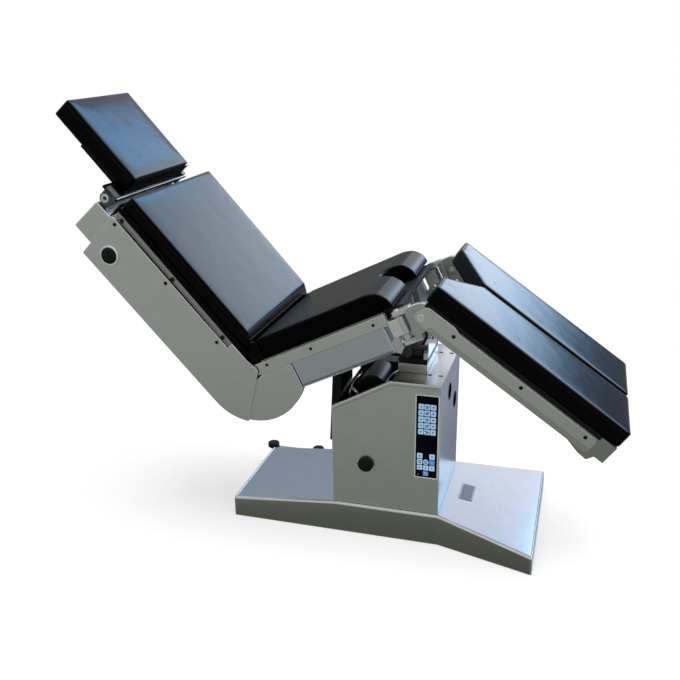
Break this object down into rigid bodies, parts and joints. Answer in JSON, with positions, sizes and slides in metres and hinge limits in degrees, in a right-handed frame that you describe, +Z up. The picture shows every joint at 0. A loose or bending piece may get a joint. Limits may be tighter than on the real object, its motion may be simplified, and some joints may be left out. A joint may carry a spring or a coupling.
{
  "type": "operating table",
  "caption": "Operating table in chair position: column base, tilting seat, folding back section, headrest, split leg sections, brake pedal.",
  "frame": {"origin": "on the floor under the middle of the lifting column, at the underside of the base plate", "axes": "+Z up, +X towards the foot end, +Y towards the patient's left; the rest pose is the chair position"},
  "size_m": [1.6452, 0.5481, 1.2761],
  "materials": {
    "steel": "brushed stainless sheet",
    "steel_bright": "ground stainless",
    "cast": "satin plated casting",
    "dark_steel": "dark satin paint",
    "chrome": "polished",
    "leather": "smooth black upholstery",
    "black_plastic": "moulded, fine grain",
    "keypad": "membrane foil"
  },
  "bodies": {
    "base": {"base_cover": "steel", "base_plate": "dark_steel", "column_panel_right": "steel", "column_panel_left": "steel", "column_end_panel": "steel", "column_top_plate": "steel_bright", "column_head_panel": "steel", "drive_housing": "black_plastic", "guide_collar": "steel_bright", "lift_guide": "steel_bright", "lift_cylinder": "dark_steel", "power_unit": "dark_steel", "keypad_bezel": "steel_bright", "keypad_membrane": "keypad", "pedal_bracket": "cast"},
    "valve_knob": {"column_knob": "black_plastic"},
    "pedal": {"pedal_rocker": "cast", "pedal_pad_head": "black_plastic", "pedal_pad_foot": "black_plastic"},
    "lift": {"lift_column": "steel_bright", "lift_rod": "chrome", "lift_head": "steel_bright"},
    "cross": {"tilt_cross": "dark_steel"},
    "seat": {"seat_saddle": "cast", "seat_plate": "dark_steel", "seat_beam_right": "steel", "seat_beam_left": "steel", "seat_rail_right": "steel", "seat_rail_left": "steel", "seat_box": "steel", "hinge_cover_right": "steel", "hinge_cover_left": "steel", "seat_cushion": "leather", "back_shaft": "chrome", "leg_block_right": "cast", "leg_block_left": "cast"},
    "back": {"back_arm_right": "steel", "back_arm_left": "steel", "back_board": "dark_steel", "back_box": "steel", "back_cover_right": "steel", "back_cover_left": "steel", "back_rail_right": "steel", "back_rail_left": "steel", "back_cushion": "leather", "knob_ring": "steel_bright", "head_shaft": "chrome"},
    "lock_knob": {"back_knob": "black_plastic"},
    "head": {"head_frame": "cast", "head_cushion": "leather"},
    "hip_right": {"leg_clevis_right": "cast", "hip_pin_right": "chrome"},
    "hip_left": {"leg_clevis_left": "cast", "hip_pin_left": "chrome"},
    "leg_right": {"leg_tray_right": "steel", "leg_rail_right": "steel", "leg_cushion_right": "leather"},
    "leg_left": {"leg_tray_left": "steel", "leg_rail_left": "steel", "leg_cushion_left": "leather"}
  },
  "joints": [
    {"name": "lift_slide", "type": "slide", "parent": "base", "child": "lift", "axis": [0, 0, 1], "range_m": [0, 0.3]},
    {"name": "side_tilt", "type": "hinge", "parent": "lift", "child": "cross", "pos_m": [0, 0, 0.6], "axis": [1, 0, 0], "range_deg": [-18, 18]},
    {"name": "pitch", "type": "hinge", "parent": "cross", "child": "seat", "pos_m": [0, 0, 0.6], "axis": [0, 1, 0], "range_deg": [-4, 30]},
    {"name": "back_fold", "type": "hinge", "parent": "seat", "child": "back", "pos_m": [-0.42911, 0, 0.54004], "axis": [0, 1, 0], "range_deg": [-82, 0]},
    {"name": "head_fold", "type": "hinge", "parent": "back", "child": "head", "pos_m": [-0.87296, 0, 1.00984], "axis": [0, 1, 0], "range_deg": [-60, 20]},
    {"name": "hip_right_swing", "type": "hinge", "parent": "seat", "child": "hip_right", "pos_m": [-0.01351, -0.249, 0.74184], "axis": [-0.4368, 0, 0.8996], "range_deg": [-45, 0]},
    {"name": "hip_left_swing", "type": "hinge", "parent": "seat", "child": "hip_left", "pos_m": [-0.01351, 0.249, 0.74184], "axis": [-0.4368, 0, 0.8996], "range_deg": [0, 45]},
    {"name": "knee_right_fold", "type": "hinge", "parent": "hip_right", "child": "leg_right", "pos_m": [0.05477, -0.249, 0.74087], "axis": [0, 1, 0], "range_deg": [-66, 22]},
    {"name": "knee_left_fold", "type": "hinge", "parent": "hip_left", "child": "leg_left", "pos_m": [0.05477, 0.249, 0.74087], "axis": [0, 1, 0], "range_deg": [-66, 22]},
    {"name": "valve_turn", "type": "hinge", "parent": "base", "child": "valve_knob", "pos_m": [-0.1195, -0.1715, 0.2403], "axis": [0, 1, 0], "range_deg": [-90, 90]},
    {"name": "lock_turn", "type": "hinge", "parent": "back", "child": "lock_knob", "pos_m": [-0.8488, -0.2688, 0.85611], "axis": [0, 1, 0], "range_deg": [-90, 90]},
    {"name": "pedal_rock", "type": "hinge", "parent": "base", "child": "pedal", "pos_m": [-0.4745, 0.204, 0.04], "axis": [0, 1, 0], "range_deg": [-7, 7]}
  ]
}
